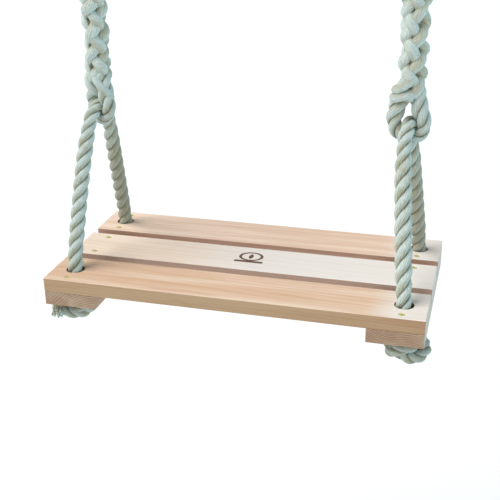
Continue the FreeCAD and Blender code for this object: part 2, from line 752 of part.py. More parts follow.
def stopper_knot(side, sign, row, end):
    """The outer shape of a knot pulled up under the seat: a bun with a flat top."""
    body = doc.addObject("PartDesign::Body", f"Knot_{row}_{side}")
    profile = sketch_on(body, f"KnotProfile_{row}_{side}", origin_plane(body, "XZ_Plane"))
    wide, tall = size("knot_width") / 2, size("knot_height")
    rim, foot = size("knot_seat_diameter") / 2, size("knot_foot_diameter") / 2
    corners = [Vector(0, 0, 0), Vector(rim, 0, 0), Vector(foot, -tall, 0), Vector(0, -tall, 0)]
    profile.addGeometry(Part.LineSegment(corners[0], corners[1]), False)
    profile.addGeometry(Part.Arc(corners[1], Vector(wide, -tall / 2, 0), corners[2]), False)
    profile.addGeometry(Part.LineSegment(corners[2], corners[3]), False)
    profile.addGeometry(Part.LineSegment(corners[3], corners[0]), False)
    turned = body.newObject("PartDesign::Revolution", f"KnotTurned_{row}_{side}")
    turned.Profile = profile
    turned.ReferenceAxis = (profile, ["V_Axis"])
    turned.Angle = 360
    body.Tip = turned
    x = f"{sign} * (seat_length / 2 - rope_hole_inset + knot_shift_out)"
    y = f"{end} * ({BOARD_PITCH} + knot_shift_along)"
    place(body, x, y, "-seat_drop - board_thickness - cleat_thickness")
    finish(body, f"stopper_knot_{row}_{side}")


# ---------------------------------------------------------------- the whole swing


def build():
    seat_boards()
    seat_cleats()
    seat_screws()
    pivot_washers()
    for side, sign in SIDES:
        hanger_bracket(side, sign)
        pivot_bolt(side, sign)
        pivot_bushes(side, sign)
        pendulum_link(side, sign)
        shackle(side, sign)
        shackle_pin(side, sign)
        thimble(side, sign)
        hanging_rope(side, sign)
        lower_eye(side, sign)
        bridle_rope(side, sign)
        for row, end in ENDS:
            stopper_knot(side, sign, row, end)
    doc.recompute()


def check():
    """Stops on an object that failed or a sub-part that isn't a valid solid."""
    for thing in doc.Objects:
        if "Invalid" in thing.State or "Error" in thing.State:
            raise RuntimeError(f"{thing.Label} failed: {thing.State}")
    for thing in nodes:
        if thing.Shape.isNull() or not thing.Shape.isValid() or not thing.Shape.Solids:
            raise RuntimeError(f"{thing.Label} has no valid solid")


def write():
    os.makedirs("parts", exist_ok=True)
    for thing in nodes:
        thing.Shape.exportStep(f"parts/{thing.Label}.step")
        print(f"{thing.Label}: {len(thing.Shape.Solids)} solids, {thing.Shape.Volume:.0f} mm3")


build()
check()
write()
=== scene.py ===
import math
import random

import bmesh
import bpy
from mathutils import Matrix, Vector, noise


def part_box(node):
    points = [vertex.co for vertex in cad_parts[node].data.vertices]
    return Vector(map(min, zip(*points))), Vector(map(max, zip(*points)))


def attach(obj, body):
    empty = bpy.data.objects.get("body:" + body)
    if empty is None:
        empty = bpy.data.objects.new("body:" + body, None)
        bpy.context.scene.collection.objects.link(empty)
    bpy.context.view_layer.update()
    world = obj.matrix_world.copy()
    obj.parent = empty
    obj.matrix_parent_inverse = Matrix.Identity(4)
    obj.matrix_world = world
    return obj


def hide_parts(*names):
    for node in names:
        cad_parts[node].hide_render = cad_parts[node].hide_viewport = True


# A porch swing: a slatted seat on two bridle ropes, each hung from the spliced eye of a hanging rope.
# Everything is in metres in the CAD model's frame: x to the swing's right, y to the back, z up, and zero
# between the hangers, on the beam's underside.

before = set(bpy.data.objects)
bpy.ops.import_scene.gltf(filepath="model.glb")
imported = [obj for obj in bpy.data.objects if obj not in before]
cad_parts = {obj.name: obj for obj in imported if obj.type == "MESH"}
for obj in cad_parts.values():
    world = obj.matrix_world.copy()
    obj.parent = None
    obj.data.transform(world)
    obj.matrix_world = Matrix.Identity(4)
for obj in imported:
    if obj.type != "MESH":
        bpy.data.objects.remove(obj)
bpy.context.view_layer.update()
scene = bpy.context.scene
SIDES = (("left", -1), ("right", 1))
ENDS = (("front", -1), ("back", 1))
HANGER_X = 0.246  # from the swing's middle to a hanging rope
(_, _, BOARD_BOTTOM), (SEAT_END, _, BOARD_TOP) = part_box("seat_board_front")


# ---------------------------------------------------------------- camera, light and floor

CAMERA_PLACE = (0.3694, -1.3499, 0.0188)
CAMERA_AZIMUTH, CAMERA_ELEVATION, CAMERA_ROLL = (math.radians(angle) for angle in (15.344, 23.734, -0.637))


def add_camera():
    """It looks down on the seat from the front, a little to the right."""
    data = bpy.data.cameras.new("Camera")
    data.lens = 67.04
    data.sensor_width = 36
    camera = bpy.data.objects.new("Camera", data)
    level = math.cos(CAMERA_ELEVATION)
    backwards = Vector(
        (
            math.sin(CAMERA_AZIMUTH) * level,
            -math.cos(CAMERA_AZIMUTH) * level,
            math.sin(CAMERA_ELEVATION),
        )
    )
    upright = backwards.to_track_quat("Z", "Y").to_matrix()
    turned = upright @ Matrix.Rotation(CAMERA_ROLL, 3, "Z")
    camera.matrix_world = Matrix.Translation(CAMERA_PLACE) @ turned.to_4x4()
    scene.collection.objects.link(camera)
    scene.camera = camera


# Each light's name, strength, width in degrees, colour, and the way it shines. The cool ones come from low
# on both sides and give the ropes and the boards' ends their blue-green edges; on the ends a pale cool tone,
# painted as light, adds to it.
LIGHTS = (
    ("Softbox", 2.85, 48, (1.0, 0.985, 0.96), (0.56, 0.30, -0.80)),
    ("Cool side light", 1.5, 30, (0.40, 0.84, 1.0), (-0.97, 0.14, -0.10)),
    ("Cool edge light", 0.60, 30, (0.42, 0.86, 1.0), (0.97, 0.22, -0.06)),
)


def add_light():
    world = bpy.data.worlds.new("Studio")
    world.use_nodes = True
    background = world.node_tree.nodes["Background"]
    background.inputs["Color"].default_value = (0.93, 0.97, 1.0, 1)
    background.inputs["Strength"].default_value = 0.39
    scene.world = world
    for name, energy, size, colour, way in LIGHTS:
        data = bpy.data.lights.new(name, "SUN")
        data.energy = energy
        data.angle = math.radians(size)
        data.color = colour
        lamp = bpy.data.objects.new(name, data)
        lamp.rotation_mode = "QUATERNION"
        lamp.rotation_quaternion = Vector(way).to_track_quat("-Z", "Y")
        scene.collection.objects.link(lamp)
    scene.view_settings.view_transform = "Standard"


FLOOR = -1.6


def add_floor():
    bm = bmesh.new()
    bmesh.ops.create_grid(bm, x_segments=1, y_segments=1, size=20)
    bmesh.ops.translate(bm, verts=bm.verts, vec=(0, 0, FLOOR))
    floor = finished("floor", bm)
    paint = Finish("floor_paint")
    cloudy = paint.noise(paint.object_place(), scale=3, detail=3)
    paint.surface(colour=paint.mix(cloudy, (0.93, 0.93, 0.93), (0.95, 0.95, 0.95)), roughness=0.9)
    floor.data.materials.append(paint.material)


# ---------------------------------------------------------------- finishes


class Value:
    """A shader socket that takes part in ordinary arithmetic."""

    def __init__(self, finish, socket):
        self.finish, self.socket = finish, socket

    def _math(self, operation, *terms):
        settings = {"operation": operation}
        return self.finish.node("ShaderNodeMath", settings, dict(enumerate(terms)))

    def __add__(self, other):
        return self._math("ADD", self, other)

    def __radd__(self, other):
        return self._math("ADD", other, self)

    def __sub__(self, other):
        return self._math("SUBTRACT", self, other)

    def __rsub__(self, other):
        return self._math("SUBTRACT", other, self)

    def __mul__(self, other):
        return self._math("MULTIPLY", self, other)

    def __rmul__(self, other):
        return self._math("MULTIPLY", other, self)

    def __truediv__(self, other):
        return self._math("DIVIDE", self, other)

    def __pow__(self, other):
        return self._math("POWER", self, other)

    def size(self):
        return self._math("ABSOLUTE", self)

    def root(self):
        return self._math("SQRT", self)

    def sine(self):
        return self._math("SINE", self)

    def part(self):
        """What is past the whole number."""
        return self._math("FRACT", self)

    def lower(self, other):
        return self._math("MINIMUM", self, other)

    def higher(self, other):
        return self._math("MAXIMUM", self, other)

    def rise(self, low, high):
        """0 at low, 1 at high, smooth between them and level past them, whichever is the greater."""
        settings = {"interpolation_type": "SMOOTHSTEP"}
        falls = low > high
        sockets = {"Value": self, "From Min": min(low, high), "From Max": max(low, high)}
        sockets.update({"To Min": int(falls), "To Max": int(not falls)})
        return self.finish.node("ShaderNodeMapRange", settings, sockets)


class Finish:
    """A material whose nodes are written as expressions."""

    def __init__(self, name):
        self.material = bpy.data.materials.new(name)
        self.material.use_nodes = True
        self.tree = self.material.node_tree
        self.shader = self.tree.nodes["Principled BSDF"]

    def node(self, kind, settings=None, sockets=None, out=0):
        """Adds a node, with its settings first and then its sockets' values or links."""
        node = self.tree.nodes.new(kind)
        for name, value in (settings or {}).items():
            setattr(node, name, value)
        for name, value in (sockets or {}).items():
            self.feed(node.inputs[name], value)
        return Value(self, node.outputs[out])

    def feed(self, socket, value):
        if isinstance(value, Value):
            self.tree.links.new(value.socket, socket)
        elif isinstance(value, tuple) and socket.type == "RGBA":
            socket.default_value = (*value, 1)
        else:
            socket.default_value = value

    def object_place(self):
        return self.node("ShaderNodeTexCoord", out="Object")

    def uv(self, name):
        return self.node("ShaderNodeUVMap", {"uv_map": name})

    def attribute(self, name):
        return self.node("ShaderNodeAttribute", {"attribute_name": name}, out="Fac")

    def axes(self, vector):
        node = self.tree.nodes.new("ShaderNodeSeparateXYZ")
        self.feed(node.inputs[0], vector)
        return [Value(self, output) for output in node.outputs]

    def vector(self, x, y, z=0):
        return self.node("ShaderNodeCombineXYZ", None, {"X": x, "Y": y, "Z": z})

    def stretched(self, vector, scale, shift=(0, 0, 0)):
        sockets = {"Vector": vector, "Scale": scale, "Location": shift}
        return self.node("ShaderNodeMapping", None, sockets)

    def noise(self, vector, scale=1.0, detail=2.0, roughness=0.5):
        sockets = {"Vector": vector, "Scale": scale, "Detail": detail, "Roughness": roughness}
        return self.node("ShaderNodeTexNoise", None, sockets)

    def clouds(self, scale, detail, roughness=0.5):
        """Noise that is alike in every direction, with about so many clouds in a metre."""
        place = self.stretched(self.object_place(), (scale, scale, scale))
        return self.noise(place, detail=detail, roughness=roughness)

    def speckle(self, vector):
        return self.node("ShaderNodeTexVoronoi", None, {"Vector": vector, "Scale": 1.0})

    def mix(self, factor, first, second, way="MIX"):
        """Sockets 6 and 7 of a Mix node are its two colours, and output 2 is the mixed colour."""
        settings = {"data_type": "RGBA", "blend_type": way}
        return self.node("ShaderNodeMix", settings, {0: factor, 6: first, 7: second}, out=2)

    def bump(self, height, distance, strength=1.0):
        sockets = {"Height": height, "Distance": distance, "Strength": strength}
        return self.node("ShaderNodeBump", None, sockets)

    def surface(self, colour, roughness, metallic=0.0, normal=None, **others):
        """Feeds the shader. The others are its sockets' names, with underscores for spaces."""
        self.feed(self.shader.inputs["Base Color"], colour)
        self.feed(self.shader.inputs["Roughness"], roughness)
        self.feed(self.shader.inputs["Metallic"], metallic)
        if normal is not None:
            self.feed(self.shader.inputs["Normal"], normal)
        for name, value in others.items():
            self.feed(self.shader.inputs[name.replace("_", " ")], value)


# The second colour is painted light: a pale cool tone for the boards' ends.
PALE_TOP, PAINTED_END_LIGHT = (0.83, 0.79, 0.75), (0.62, 0.66, 0.64)
DARK_FIBRE, BURNT = (0.42, 0.25, 0.13), (0.085, 0.020, 0.007)


def grain(wood, place, along, seed, lengthways, sideways, detail, roughness):
    """Noise drawn out along the grain, with about so many changes in a metre each way."""
    if along == "X":
        scale = (lengthways, sideways, sideways)
    else:
        scale = (sideways, lengthways, sideways)
    shift = (seed * 3.1, seed * 1.7, seed * 2.3)
    return wood.noise(wood.stretched(place, scale, shift), detail=detail, roughness=roughness)


def wood_finish(name, along, heart, ring, lean, seed, tones, ringed=0.30, **board):
    """Planed timber with growth rings about its tree's heart line. Heart is that line's place across the
    piece and up, ring a ring's width, lean how much the line leans, and ringed how much the rings show."""
    wood = Finish(name)
    place = wood.object_place()
    x, y, z = wood.axes(place)
    run, across = (x, y) if along == "X" else (y, x)
    warp = grain(wood, place, along, seed, 1.6, 9, detail=3, roughness=0.55) - 0.5
    streaks = grain(wood, place, along, seed, 2.2, 34, detail=4, roughness=0.6)
    flecks = grain(wood, place, along, seed, 6.6, 102, detail=3, roughness=0.7)
    fibre = grain(wood, place, along, seed, 9, 900, detail=2, roughness=0.6)
    off_heart = ((across - heart[0]) ** 2 + (z - heart[1]) ** 2).root()
    ring_share = ((off_heart + warp * 0.014 + run * lean) / ring).part()
    late = ring_share.rise(0.15, 0.82) * ring_share.rise(1.0, 0.88)
    pale, tan, late_tone, fleck_tone = tones
    colour = wood.mix(streaks.rise(0.36, 0.66), pale, tan)
    colour = wood.mix(late * ringed * streaks.rise(0.15, 0.65), colour, late_tone)
    colour = wood.mix(flecks.rise(0.58, 0.76) * 0.55, colour, fleck_tone)
    if board:  # a cleat has none of its facts
        colour = board_faces(wood, colour, x, y, z, warp, **board)
    # Painted light: where a piece reaches the seat's ends, half its colour is a pale grey-green that stands
    # in for the cool light on the end grain.
    at_end = x.size().rise(SEAT_END - 0.0008, SEAT_END - 0.0002)
    colour = wood.mix(at_end * 0.5, colour, PAINTED_END_LIGHT)
    colour = wood.mix(fibre.rise(0.35, 0.7) * 0.17, colour, DARK_FIBRE)
    normal = wood.bump(fibre * 0.5 + late * 0.35, 0.0003, 0.5)
    wood.surface(colour, 0.5 + fibre * 0.16, normal=normal, Specular_IOR_Level=0.35)
    return wood.material


def board_faces(wood, colour, x, y, z, warp, paler_from, edge_shade, marked=False):
    """What a seat board has on its faces: a top that grows paler from one place to another and stays pale
    beyond, sides darkened and tinted with painted shade, and on the middle board a burnt mark."""
    on_top = z.rise(BOARD_TOP - 0.0014, BOARD_TOP - 0.0004)
    under_top = z.rise(BOARD_TOP - 0.0004, BOARD_TOP - 0.0014)
    on_edge = under_top * z.rise(BOARD_BOTTOM + 0.0001, BOARD_BOTTOM + 0.0005)
    # The top is mixed towards a pale tone, more and more from one place to another and evenly beyond.
    colour = wood.mix((x + warp * 0.09).rise(*paler_from) * on_top * 0.85, colour, PALE_TOP)
    # Painted shade: the board's sides, the front edge and the faces in the gaps between boards, are
    # multiplied by the edge shade colour; the underside keeps the wood's own colour.
    edge_shaded = wood.mix(1.0, colour, edge_shade, "MULTIPLY")
    colour = wood.mix(on_edge, colour, edge_shaded)
    if marked:
        colour = wood.mix(burnt_mark(x, y, warp) * on_top * 0.95, colour, BURNT)
    return colour


def burnt_mark(x, y, warp):
    """How deep a plain mark is burnt: a leaf in an oval ring, over a bar. Its sizes are in millimetres."""
    across, up = (x + 0.001) / 0.001, (y - 0.008) / 0.001
    ring = (((across / 18) ** 2 + (up / 15) ** 2).root() - 1).size().rise(0.16, 0.11)
    half_leaves = [((across + off) ** 2 + (up / 1.25) ** 2).root().rise(9.6, 9.0) for off in (5.5, -5.5)]
    bar = (up + 20).size().rise(3.8, 3.2) * across.size().rise(24.4, 23.6)
    patchy = (warp * 3.0 + 1.5).lower(1.0)
    return ring.higher(half_leaves[0] * half_leaves[1]).higher(bar) * patchy


YARNS = 16  # side by side round a strand
YARN_TWIST = 175  # how many yarns are passed in a metre along a strand
# The last of these colours is painted shade, for the ropes' back and the parts under the seat.
PALE_THREAD, DARK_THREAD, PAINTED_SHADE_ROPE = (0.86, 0.95, 0.91), (0.42, 0.37, 0.22), (0.34, 0.29, 0.185)


def rope_finish(name, light, shade, tan):
    """Laid cotton: yarns run nearly with the rope on each strand. Shade is painted into its colour: darker
    in the valleys between the strands and in the grooves between the yarns, tan on one side of each strand,
    and darker towards the back and under the seat."""
    rope = Finish(name)
    place = rope.object_place()
    along, around, _ = rope.axes(rope.uv("Yarn"))
    wander = rope.clouds(60, detail=4, roughness=0.65) - 0.5
    soil = rope.clouds(30, detail=4, roughness=0.6)
    fuzz = rope.clouds(1300, detail=3, roughness=0.7)
    threads = rope.noise(rope.vector(along * 120, around * 30 + along * 440), detail=3, roughness=0.6)
    ridge = ((around * YARNS + along * YARN_TWIST + wander * 2.6) * 2 * math.pi).sine() * 0.5 + 0.5
    # Painted shade: the valleys between the strands are mixed towards the shade colour, by the valley
    # attribute varied with the soil clouds.
    deep = (rope.attribute("valley") + (soil - 0.5) * 0.6).rise(0.05, 0.58)
    colour = rope.mix(deep, light, shade)
    colour = rope.mix(soil.rise(0.50, 0.72) * 0.5, colour, tan)
    # Painted shade: one side of each strand is mixed tan, in patches set by the soil clouds.
    shaded_flank = (around * 2 * math.pi + wander * 2).sine()
    colour = rope.mix(shaded_flank.rise(-0.3, 0.9) * soil.rise(0.25, 0.45) * 0.70, colour, tan)
    # Painted shade: the grooves between the yarns are darkened towards the shade colour.
    colour = rope.mix(ridge.rise(0.5, 0.0) * 0.30, colour, tuple(0.8 * c for c in shade))
    colour = rope.mix(threads.rise(0.50, 0.68) * 0.40, colour, PALE_THREAD)
    colour = rope.mix(threads.rise(0.46, 0.28) * 0.35, colour, DARK_THREAD)
    _, back, up = rope.axes(place)
    # Painted shade: the rope is mixed towards a dark brown towards its back and below the boards'
    # undersides, where shade falls.
    steel_wear_and_rope_shade = back.rise(0.012, 0.05) * 0.60 + up.rise(BOARD_BOTTOM - 0.005, BOARD_BOTTOM - 0.025) * 0.28
    colour = rope.mix(steel_wear_and_rope_shade, colour, PAINTED_SHADE_ROPE)
    normal = rope.bump(ridge * 0.60 + threads * 0.8 + fuzz * 0.35, 0.0010, 1.0)
    rope.surface(colour, 0.9 - ridge * 0.08, normal=normal, Specular_IOR_Level=0.2)
    rope.shader.inputs["Sheen Weight"].default_value = 0.5
    rope.shader.inputs["Sheen Roughness"].default_value = 0.45
    rope.shader.inputs["Sheen Tint"].default_value = (0.62, 1.0, 0.98, 1)
    return rope.material


def steel_finish(name, base, steel_wear_and_rope_shade, roughness, spangle=0.0, metallic=1.0):
    """Plated steel with a mottled coat and fine handling marks. Spangle is how much its zinc flakes show."""
    steel = Finish(name)
    place = steel.object_place()
    mottle = steel.clouds(70, detail=5, roughness=0.65)
    marks = steel.noise(steel.stretched(place, (900, 300, 900)), detail=3, roughness=0.7)
    flakes = steel.speckle(steel.stretched(place, (160, 160, 160)))
    colour = steel.mix(mottle.rise(0.35, 0.7), base, steel_wear_and_rope_shade)
    colour = steel.mix(flakes.rise(0.1, 0.7) * spangle, colour, tuple(0.75 * c for c in base))
    rough = roughness + mottle * 0.16 + marks * 0.08
    normal = steel.bump(marks * 0.6 + mottle * 0.4, 0.0001, 0.4)
    steel.surface(colour, rough, metallic=metallic, normal=normal)
    return steel.material


def yarn_finish(name):
    """Single yarns that have come loose, too fine to show their own twist."""
    yarn = Finish(name)
    clouds = yarn.clouds(260, detail=3)
    colour = yarn.mix(clouds.rise(0.35, 0.65), (0.60, 0.67, 0.62), (0.44, 0.42, 0.31))
    yarn.surface(colour, 0.9 - clouds * 0.05, Specular_IOR_Level=0.2)
    return yarn.material


def nylon_finish(name):
    nylon = Finish(name)
    clouds = nylon.clouds(200, detail=3)
    colour = nylon.mix(clouds.rise(0.3, 0.7), (0.74, 0.73, 0.68), (0.82, 0.81, 0.76))
    nylon.surface(colour, 0.42 + clouds * 0.2, normal=nylon.bump(clouds, 0.0001, 0.4))
    return nylon.material


# ---------------------------------------------------------------- shaping


def finished(name, bm):
    """A mesh object at the origin, from a bmesh that is then freed."""
    mesh = bpy.data.meshes.new(name)
    bm.to_mesh(mesh)
    bm.free()
    made = bpy.data.objects.new(name, mesh)
    scene.collection.objects.link(made)
    return made


def smooth_line(points, resolution=24):
    """The points that Blender gives for a smooth NURBS line through a rope's route."""
    data = bpy.data.curves.new("route", "CURVE")
    data.dimensions = "3D"
    data.resolution_u = resolution
    spline = data.splines.new("NURBS")
    spline.points.add(len(points) - 1)
    for point, place in zip(spline.points, points):
        point.co = (*place, 1)
    spline.order_u = 3
    spline.use_endpoint_u = True
    route = bpy.data.objects.new("route", data)
    mesh = bpy.data.meshes.new_from_object(route)
    line = [vertex.co.copy() for vertex in mesh.vertices]
    bpy.data.meshes.remove(mesh)
    bpy.data.objects.remove(route)
    bpy.data.curves.remove(data)
    return line


def evenly(line, step):
    """Places along the line, all the same way apart, which is about a step."""
    along = [0.0]
    for a, b in zip(line, line[1:]):
        along.append(along[-1] + (b - a).length)
    count = max(2, round(along[-1] / step))
    places, at = [], 0
    for i in range(count + 1):
        wanted = along[-1] * i / count
        while at < len(line) - 2 and along[at + 1] < wanted:
            at += 1
        span = max(along[at + 1] - along[at], 1e-9)
        places.append(line[at].lerp(line[at + 1], (wanted - along[at]) / span))
    return places


def line_length(line):
    return sum((b - a).length for a, b in zip(line, line[1:]))


def headings(line):
    """The way the line goes at each place."""
    ends = [line[0], *line, line[-1]]
    return [(after - before).normalized() for before, after in zip(ends, ends[2:])]


def crossways(line):
    """A direction square to the line at each place, that turns as little as it can."""
    ways = headings(line)
    across = ways[0].orthogonal().normalized()
    made = [across]
    for before, way in zip(ways, ways[1:]):
        across = before.rotation_difference(way) @ across
        across = (across - way * across.dot(way)).normalized()
        made.append(across)
    return made


def soften(position, low, high):
    """0 at low, 1 at high and smooth between them."""
    share = min(1.0, max(0.0, (position - low) / (high - low)))
    return share * share * (3 - 2 * share)


STRAND_SIDES = 18


def strand_skin(bm, centres, spine, radii, girths, sides=STRAND_SIDES):
    """One strand: a closed tube along its centres. The spine is the line that the strand winds round, and
    the girths are how thick the whole rope is there. "Yarn" holds how far along the strand and how far
    round it a place is, and "valley" is 1 deep between the strands and 0 on the rope's outside."""
    ways = headings(centres)
    yarn = bm.loops.layers.uv.get("Yarn") or bm.loops.layers.uv.new("Yarn")
    valley = bm.verts.layers.float.get("valley") or bm.verts.layers.float.new("valley")
    rows = len(centres) - 1
    skin = bmesh.ops.create_grid(bm, x_segments=sides, y_segments=rows, size=1)["verts"]
    along = 0.0
    marks = {}
    for row, (centre, way, middle) in enumerate(zip(centres, ways, spine)):
        if row:
            along += (centre - centres[row - 1]).length
        out = centre - middle
        if out.length > 1e-6:
            out = (out - way * out.dot(way)).normalized()
        else:
            out = way.orthogonal().normalized()
        side = way.cross(out)
        for step in range(sides + 1):
            angle = 2 * math.pi * step / sides
            vert = skin[row * (sides + 1) + step]
            vert.co = centre + (out * math.cos(angle) + side * math.sin(angle)) * radii[row]
            # The valley attribute is what the rope finish paints shade by.
            off = (vert.co - middle).length / (girths[row] / 2)
            vert[valley] = 1 - soften(off, 0.55, 0.98)
            marks[vert] = (along, step / sides)
    for vert, mark in marks.items():
        for loop in vert.link_loops:
            loop[yarn].uv = mark
            loop.face.smooth = True
    bmesh.ops.remove_doubles(bm, verts=skin, dist=1e-6)


def rounded_ends(radii, steps=(0.0, 0.62, 0.88)):
    """The radii again, closed to a point in these steps at both ends."""
    made = list(radii)
    for i, share in enumerate(steps):
        made[i] *= share
        made[-1 - i] *= share
    return made


# ---------------------------------------------------------------- ropes

STRANDS = 3
ROPE = 0.024  # the diameter of all the ropes
SQUEEZED = 0.0222  # and where one presses on another
LAY = 2.7  # rope diameters in one turn of the lay
STRAND_OFF, STRAND_RADIUS = 0.238, 0.268  # its centre line off the rope's and its radius, in rope diameters
ROUTE_STEP = 0.0034  # between the places where a rope's strands are worked out
LOCK = -0.388  # the height where the bridle hangs in the lower eye


def laid_rope(bm, line, girths, start):
    """Three strands laid right-handed round the line. Start is the angle of the first one, in radians."""
    across, ways = crossways(line), headings(line)
    turned, angles = start, []
    for i, girth in enumerate(girths):
        if i:
            turned += 2 * math.pi * (line[i] - line[i - 1]).length / (LAY * girth)
        angles.append(turned)
    for strand in range(STRANDS):
        centres, radii = [], []
        for place, side, way, girth, angle in zip(line, across, ways, girths, angles):
            turn = angle + 2 * math.pi * strand / STRANDS
            up = way.cross(side)
            out = side * math.cos(turn) + up * math.sin(turn)
            centres.append(place + out * girth * STRAND_OFF)
            radii.append(girth * STRAND_RADIUS)
        strand_skin(bm, centres, line, rounded_ends(radii), girths)


LOOSE_YARNS = 60
END_RADIUS = 0.0088  # of the cut end that they spread from
ROPE_END_GIRTH = 0.03  # of the whole tuft
YARN_ROOT = 0.005  # how deep in it a loose yarn starts
YARN_STRAIGHT = 0.004  # and how far it goes straight on


def frayed_end(bm, end, way, seed):
    """Loose yarns that spread from a cut end."""
    way = way.normalized()
    side = way.orthogonal().normalized()
    up = way.cross(side)
    picked = random.Random(seed)
    for _ in range(LOOSE_YARNS):
        angle, off = picked.uniform(0, 2 * math.pi), END_RADIUS * math.sqrt(picked.random())
        out = side * math.cos(angle) + up * math.sin(angle)
        root = end + out * off - way * YARN_ROOT
        reach, spread = picked.uniform(0.002, 0.006), picked.uniform(0.0, 0.3) + off * 30
        droop = Vector((picked.uniform(-0.2, 0.2), picked.uniform(-0.2, 0.2), picked.uniform(-0.5, 0.1)))
        middle = root + way * (YARN_STRAIGHT + reach * 0.5) + out * reach * 0.2 * spread
        tip = root + way * (YARN_STRAIGHT + reach) + (out * spread + droop) * reach * 0.7
        centres = evenly(smooth_line([root, middle, tip], resolution=6), 0.002)
        count = len(centres)
        radii = rounded_ends([picked.uniform(0.0009, 0.0016)] * count, steps=(0.0,))
        inside = [end - way * 0.05] * count
        strand_skin(bm, centres, inside, radii, [ROPE_END_GIRTH] * count, sides=5)


# A bridle's rope from a knot's seat up to its top, about the place where the bridle pitches: away from the
# swing's middle, away from the bridle's other leg, up.
BRIDLE_HALF = (
    (0.0180, 0.1070, -0.2700),
    (0.0180, 0.1070, -0.2170),
    (0.0138, 0.0872, -0.1660),
    (0.0050, 0.0455, -0.0590),
    (0.0000, 0.0223, 0.0016),
    (0.0000, 0.0175, 0.0139),
    (0.0000, 0.0066, 0.0214),
)

# How much thicker the legs are where they hang free than in their holes, and how much thinner in the knots.
LEG_SWELL = {"left": 0.0012, "right": 0.0024}
KNOT_SQUEEZE = 0.0035

# How far a front leg bows from that route at each of its places: away from the swing's middle, and to the
# front. The back legs are straight.
STRAIGHT = ((0, 0),) * len(BRIDLE_HALF)
BOWED = {
    ("left", "front"): (
        (0, 0),
        (0.0010, 0),
        (0.0055, 0.001),
        (0.0105, 0.005),
        (0.0085, 0.008),
        (0.0050, 0.006),
        (0.0020, 0.002),
    ),
    ("right", "front"): (
        (0, 0),
        (-0.0010, 0),
        (-0.0025, 0),
        (-0.0055, 0),
        (-0.0045, 0),
        (-0.0020, 0),
        (0, 0),
    ),
}

# Each lower eye: the degrees that it is turned about its hanging line, and its rope's route in its own
# plane, down its left leg and up its right one. Each place is across and up from the eye's lowest place.
LOWER_EYES = {
    "left": (
        -32,
        ((-0.0080, 0.0790), (-0.0115, 0.0560), (-0.0175, 0.0380), (-0.0233, 0.0170), (-0.0104, 0.0)),
        ((0.0104, 0.0), (0.0233, 0.0164), (0.0165, 0.0360), (0.0110, 0.0560), (0.0080, 0.0790)),
    ),
    "right": (
        0,
        ((-0.0085, 0.0790), (-0.0140, 0.0600), (-0.0218, 0.0420), (-0.0245, 0.0180), (-0.0104, 0.0)),
        ((0.0104, 0.0), (0.0235, 0.0164), (0.0165, 0.0370), (0.0100, 0.0550), (0.0080, 0.0790)),
    ),
}

# The upper eyes in the same way, but up the left leg and down the right one, from the eye's highest place.
UPPER_EYE_TOP = -0.0930
UPPER_EYE = (
    0,
    ((-0.0080, -0.1040), (-0.0120, -0.0860), (-0.0228, -0.0486), (-0.0304, -0.0221), (-0.0138, 0.0)),
    ((0.0138, 0.0), (0.0304, -0.0221), (0.0228, -0.0486), (0.0120, -0.0860), (0.0080, -0.1040)),
)

# A stopper knot, from its tail round and up to the middle of the rope hole, about the knot's seat: away
# from the swing's middle, away from the bridle's other leg, up.
KNOT = (
    (0.018, 0.017, -0.010),
    (0.001, 0.026, -0.014),
    (-0.014, 0.019, -0.022),
    (-0.017, 0.004, -0.029),
    (-0.010, -0.011, -0.033),
    (0.004, -0.020, -0.031),
    (0.020, -0.022, -0.024),
    (0.032, -0.014, -0.022),
    (0.034, 0.001, -0.026),
    (0.025, 0.014, -0.032),
    (0.010, 0.019, -0.031),
    (-0.008, 0.018, -0.020),
    (-0.021, 0.007, -0.013),
    (-0.022, -0.010, -0.011),
    (-0.010, -0.019, -0.012),
    (0.001, -0.013, -0.020),
    (0.003, -0.001, -0.020),
    (0.001, 0.000, -0.008),
)

# The three ways that a knot's cut end comes out of it, in the same terms.
LONG_TAIL = ((0.036, -0.034, -0.020), (0.033, -0.020, -0.014), (0.028, -0.002, -0.010))
SHORT_TAIL = ((0.018, -0.040, -0.020), (0.024, -0.024, -0.014), (0.026, -0.004, -0.010))
HANGING_TAIL = ((0.024, -0.033, -0.026), (0.028, -0.024, -0.018), (0.028, -0.005, -0.011))

# How each knot lies: how far its seat is moved away from the swing's middle, -1 where it is turned round
# so that front and back change places, how flat it is pulled, and its tail.
KNOT_LIES = {
    ("left", "front"): (-0.002, -1, 0.74, HANGING_TAIL),
    ("left", "back"): (-0.012, 1, 0.90, LONG_TAIL),
    ("right", "front"): (0.001, 1, 1.0, SHORT_TAIL),
    ("right", "back"): (-0.012, 1, 0.92, SHORT_TAIL),
}


def rope_piece(name, bm, body, nodes, finish="rope"):
    """A finished piece that stands for the CAD nodes and rides on the body."""
    made = finished(name, bm)
    made.data.materials.append(FINISHES[finish])
    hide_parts(*nodes)
    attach(made, body)
    return made


def bridle_half(side, sign, end, far):
    """From a knot's cut end through the knot and up its leg to the top of the bridle."""
    top = Vector((sign * HANGER_X, 0, LOCK))
    bow = BOWED.get((side, end), STRAIGHT)
    leg = []
    for (x, y, z), (bowed_out, bowed_far) in zip(BRIDLE_HALF, bow):
        leg.append(top + Vector((sign * (x + bowed_out), far * (y + bowed_far), z)))
    out, about, flat, tail = KNOT_LIES[side, end]
    seat = leg[0] + Vector((sign * out, 0, 0))
    return [seat + Vector((sign * x, far * about * y, flat * z)) for x, y, z in tail + KNOT] + leg


